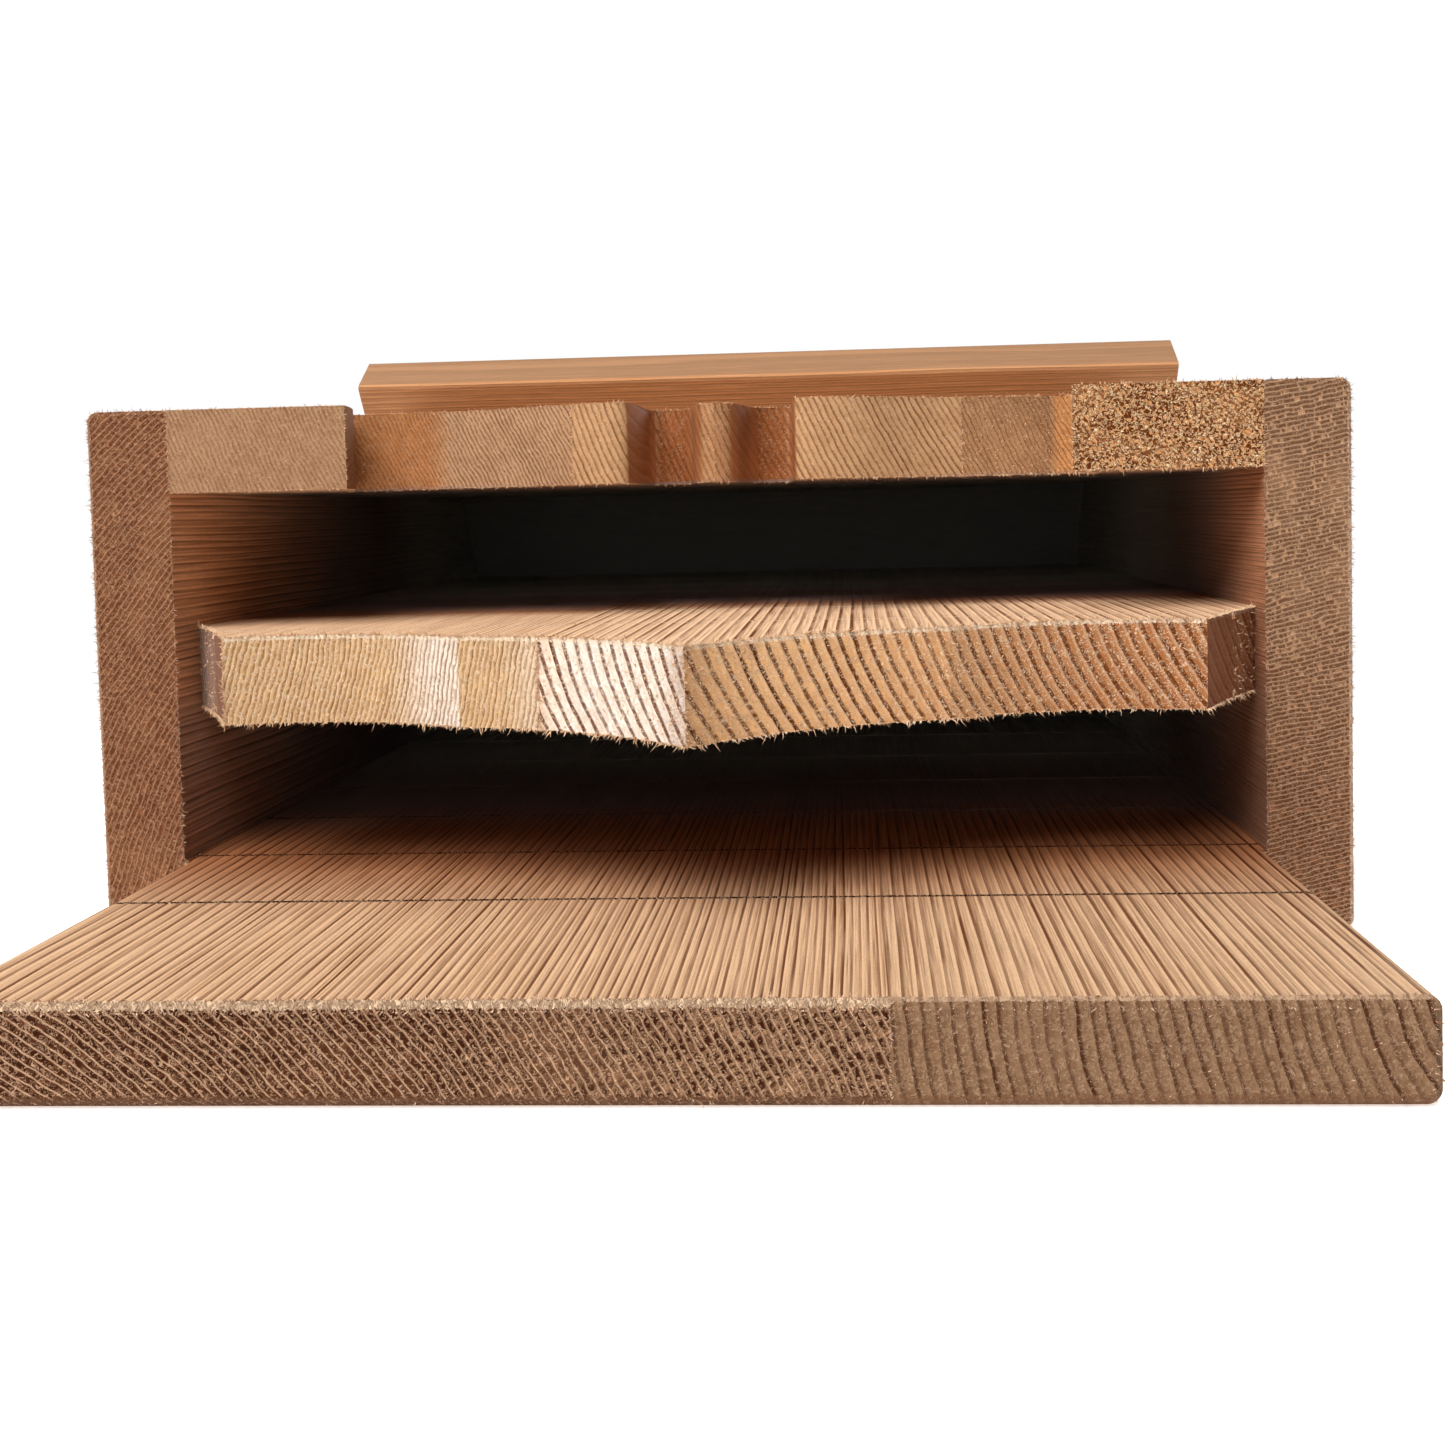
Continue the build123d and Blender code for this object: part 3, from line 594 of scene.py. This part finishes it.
def fibre_material(name, light, dark):
    """Torn wood that changes from light to dark along a fibre and from place to place."""
    g = Graph(name)
    place = g.add("ShaderNodeTexCoord").outputs["Object"]
    point = g.scaled(place, (1 / MM, 1 / MM, 1 / MM))
    spot = g.noise(g.scaled(point, (0.9, 0.9, 0.9)), detail=2.0, rough=0.7)
    broad = g.noise(g.scaled(point, (0.06, 0.06, 0.06)), detail=1.0)
    tone = g.mix(g.step(spot, 0.35, 0.62), colour(*dark), colour(*light))
    tone = g.mix(g.step(broad, 0.4, 0.65, 0.0, 0.4), tone, colour(*dark))
    bump = g.add("ShaderNodeBump", {"Height": spot, "Strength": 0.3, "Distance": 0.1 * MM})
    shader = g.add("ShaderNodeBsdfPrincipled", {"Base Color": tone, "Roughness": 0.8,
                                                "Specular IOR Level": 0.2,
                                                "Normal": bump.outputs[0]})
    output = g.add("ShaderNodeOutputMaterial")
    g.put(output.inputs["Surface"], shader.outputs[0])
    return g.material


# ---------------------------------------------------------------- boards


def finish_boards():
    """Each board's own cedar in place of its plain colour."""
    for wood in BOARDS:
        piece = NODES[wood.node]
        piece.data.materials.clear()
        piece.data.materials.append(wood.material())


# ---------------------------------------------------------------- steel


def steel(name, base, roughness):
    """Zinc plating with faint spangle and scuffs."""
    g = Graph(name)
    place = g.add("ShaderNodeTexCoord").outputs["Object"]
    point = g.scaled(place, (1 / MM, 1 / MM, 1 / MM))
    spangle = g.cells(point, scale=0.45)
    scuff = g.noise(g.scaled(point, (0.3, 0.3, 2.5)), detail=4.0, rough=0.6)
    dull = colour(*[0.72 * c for c in base])
    tone = g.mix(g.step(spangle, 0.2, 0.9, 0.0, 0.6), colour(*base), dull)
    tone = g.mix(g.step(scuff, 0.5, 0.75, 0.0, 0.5), tone, dull)
    rough = g.step(scuff, 0.3, 0.7, roughness, roughness + 0.2)
    bump = g.add("ShaderNodeBump", {"Height": scuff, "Strength": 0.4, "Distance": 0.05 * MM})
    shader = g.add("ShaderNodeBsdfPrincipled", {"Base Color": tone, "Roughness": rough, "Metallic": 1.0,
                                                "Normal": bump.outputs[0]})
    output = g.add("ShaderNodeOutputMaterial")
    g.put(output.inputs["Surface"], shader.outputs[0])
    return g.material


def finish_steel():
    """Yellowish zinc on the screws and bright zinc on the hanger plates."""
    screw_steel = steel("screw_steel", (0.60, 0.56, 0.46), 0.32)
    hanger_steel = steel("hanger_steel", (0.66, 0.67, 0.68), 0.28)
    for name, piece in NODES.items():
        if "screws" in name or "plate" in name:
            piece.data.materials.clear()
            piece.data.materials.append(hanger_steel if "plate" in name else screw_steel)


# ---------------------------------------------------------------- studio


def area_light(name, place, target, size, power, tint=(1.0, 1.0, 1.0)):
    data = bpy.data.lights.new(name, "AREA")
    data.shape, data.size, data.energy, data.color = "SQUARE", size, power, tint
    lamp = bpy.data.objects.new(name, data)
    lamp.location = place
    lamp.rotation_euler = (Vector(target) - Vector(place)).to_track_quat("-Z", "Y").to_euler()
    bpy.context.scene.collection.objects.link(lamp)


def pale_stage():
    """A pale surface just behind the wall face, fading into the white around it."""
    half = 1.6
    mesh = bpy.data.meshes.new("stage")
    y = cad_high.y + 0.4 * MM
    corners = [(-half, y, -half), (half, y, -half), (half, y, half), (-half, y, half)]
    mesh.from_pydata(corners, [], [(0, 1, 2, 3)])
    floor = bpy.data.objects.new("stage", mesh)
    bpy.context.scene.collection.objects.link(floor)
    g = Graph("stage")
    diffuse = g.add("ShaderNodeBsdfDiffuse", {"Color": colour(0.93, 0.93, 0.93)})
    glow = g.add("ShaderNodeEmission", {"Color": colour(1, 1, 1), "Strength": 0.5})
    lit = g.add("ShaderNodeAddShader", {0: diffuse.outputs[0], 1: glow.outputs[0]})
    clear = g.add("ShaderNodeBsdfTransparent")
    behind = g.add("ShaderNodeNewGeometry").outputs["Backfacing"]
    place = g.add("ShaderNodeTexCoord").outputs["Object"]
    away = g.add("ShaderNodeVectorMath", {0: place}, operation="LENGTH").outputs["Value"]
    gone = g.math("MAXIMUM", behind, g.step(away, 0.30, 0.62))
    mix = g.add("ShaderNodeMixShader", {0: gone, 1: lit.outputs[0], 2: clear.outputs[0]})
    output = g.add("ShaderNodeOutputMaterial")
    g.put(output.inputs["Surface"], mix.outputs[0])
    mesh.materials.append(g.material)


def white_world():
    """White to look at, and dim as a light, so that the chambers stay dark."""
    world = bpy.data.worlds.new("studio")
    bpy.context.scene.world = world
    world.use_nodes = True
    tree = world.node_tree
    tree.nodes.clear()
    seen = tree.nodes.new("ShaderNodeBackground")
    seen.inputs["Strength"].default_value = 1.0
    ambient = tree.nodes.new("ShaderNodeBackground")
    ambient.inputs["Strength"].default_value = 0.04
    for shade in (seen, ambient):
        shade.inputs["Color"].default_value = (1, 1, 1, 1)
    rays = tree.nodes.new("ShaderNodeLightPath")
    mix = tree.nodes.new("ShaderNodeMixShader")
    output = tree.nodes.new("ShaderNodeOutputWorld")
    tree.links.new(rays.outputs["Is Camera Ray"], mix.inputs[0])
    tree.links.new(ambient.outputs[0], mix.inputs[1])
    tree.links.new(seen.outputs[0], mix.inputs[2])
    tree.links.new(mix.outputs[0], output.inputs["Surface"])


def studio():
    """A large soft main light from below the house, and weak ones that open up its other sides."""
    aim = (0, -0.06, 0.02)
    area_light("main_light", (-0.38, -1.36, -0.84), aim, 1.15, 44)
    area_light("low_left_light", (-1.6, -0.40, -0.14), (0, -0.06, -0.03), 0.36, 3, (1.0, 0.98, 0.96))
    area_light("camera_side_light", (-0.1, -0.35, -1.6), aim, 0.8, 3)
    area_light("front_light", (0.35, -1.7, 0.3), aim, 1.1, 5)
    area_light("roof_light", (0.5, -0.6, 1.7), (0, -0.06, 0.2), 0.9, 13)
    area_light("wall_side_light", (-0.6, 1.6, 0.9), (0, 0, 0.1), 1.2, 30)
    area_light("right_light", (1.6, -0.1, 0.8), (0, -0.06, 0.1), 1.0, 7)
    area_light("left_light", (-1.6, -0.1, 0.8), (0, -0.06, 0.1), 1.0, 7)


add_camera()
pale_stage()
white_world()
studio()
finish_boards()
finish_steel()
add_fibres()
bpy.context.scene.view_settings.view_transform = "Standard"
